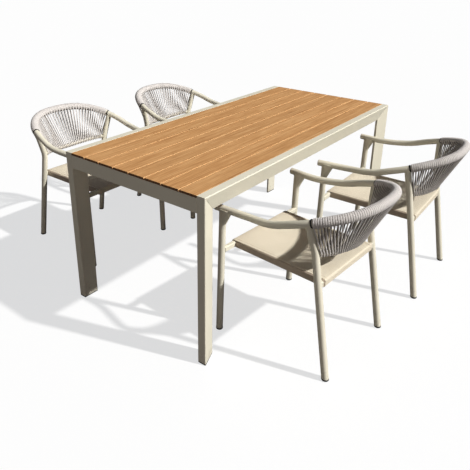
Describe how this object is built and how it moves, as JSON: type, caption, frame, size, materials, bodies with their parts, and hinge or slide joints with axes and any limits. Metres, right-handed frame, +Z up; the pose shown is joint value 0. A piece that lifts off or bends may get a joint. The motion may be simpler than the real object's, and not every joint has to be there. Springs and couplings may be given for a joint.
{
  "type": "patio dining set",
  "caption": "Rectangular slatted patio table on a mitred tapered frame, with tub armchairs that have sling seats and rope backs on bent round tube.",
  "frame": {"origin": "on the floor at the middle of the whole set's footprint; the table's own middle is at y = -0.093 m", "axes": "+Z up; X along the table's length, near end at -X; the two chairs at -Y are partly pushed in and the two at +Y are pulled out"},
  "size_m": [1.7, 2.1252, 0.75],
  "materials": {
    "frame": "satin cream powder coat",
    "slat": "oiled teak look, lightly brushed along the grain",
    "foot_plastic": "dark moulded foot caps",
    "sling": "tightly woven sand-coloured mesh",
    "rope": "braided taupe-grey outdoor rope"
  },
  "bodies": {
    "table": {"table_side_rail_right": "frame", "table_leg_right_near": "frame", "table_foot_cap_right_near": "foot_plastic", "table_leg_right_far": "frame", "table_foot_cap_right_far": "foot_plastic", "table_side_rail_left": "frame", "table_leg_left_near": "frame", "table_foot_cap_left_near": "foot_plastic", "table_leg_left_far": "frame", "table_foot_cap_left_far": "foot_plastic", "table_end_rail_near": "frame", "table_end_rail_far": "frame", "table_cross_brace_1": "frame", "table_cross_brace_2": "frame", "table_slat_1": "slat", "table_slat_2": "slat", "table_slat_3": "slat", "table_slat_4": "slat", "table_slat_5": "slat", "table_slat_6": "slat", "table_slat_7": "slat", "table_slat_8": "slat"},
    "chair_1": {"chair_1_arm_back_rail": "frame", "chair_1_front_leg_left": "frame", "chair_1_rear_leg_left": "frame", "chair_1_front_leg_right": "frame", "chair_1_rear_leg_right": "frame", "chair_1_lower_back_rail": "frame", "chair_1_seat_frame": "frame", "chair_1_sling_seat": "sling", "chair_1_rope_back": "rope"},
    "chair_2": {"chair_2_arm_back_rail": "frame", "chair_2_front_leg_left": "frame", "chair_2_rear_leg_left": "frame", "chair_2_front_leg_right": "frame", "chair_2_rear_leg_right": "frame", "chair_2_lower_back_rail": "frame", "chair_2_seat_frame": "frame", "chair_2_sling_seat": "sling", "chair_2_rope_back": "rope"},
    "chair_3": {"chair_3_arm_back_rail": "frame", "chair_3_front_leg_left": "frame", "chair_3_rear_leg_left": "frame", "chair_3_front_leg_right": "frame", "chair_3_rear_leg_right": "frame", "chair_3_lower_back_rail": "frame", "chair_3_seat_frame": "frame", "chair_3_sling_seat": "sling", "chair_3_rope_back": "rope"},
    "chair_4": {"chair_4_arm_back_rail": "frame", "chair_4_front_leg_left": "frame", "chair_4_rear_leg_left": "frame", "chair_4_front_leg_right": "frame", "chair_4_rear_leg_right": "frame", "chair_4_lower_back_rail": "frame", "chair_4_seat_frame": "frame", "chair_4_sling_seat": "sling", "chair_4_rope_back": "rope"}
  },
  "joints": [
    {"name": "chair_1_pull_out", "type": "slide", "parent": "table", "child": "chair_1", "axis": [-0.068, -0.9977, 0], "range_m": [-0.23, 0.43]},
    {"name": "chair_2_pull_out", "type": "slide", "parent": "table", "child": "chair_2", "axis": [0.0244, -0.9997, 0], "range_m": [-0.29, 0.37]},
    {"name": "chair_3_pull_out", "type": "slide", "parent": "table", "child": "chair_3", "axis": [0.0035, 1, 0], "range_m": [-0.47, 0.2]},
    {"name": "chair_4_pull_out", "type": "slide", "parent": "table", "child": "chair_4", "axis": [-0.0314, 0.9995, 0], "range_m": [-0.44, 0.22]}
  ]
}
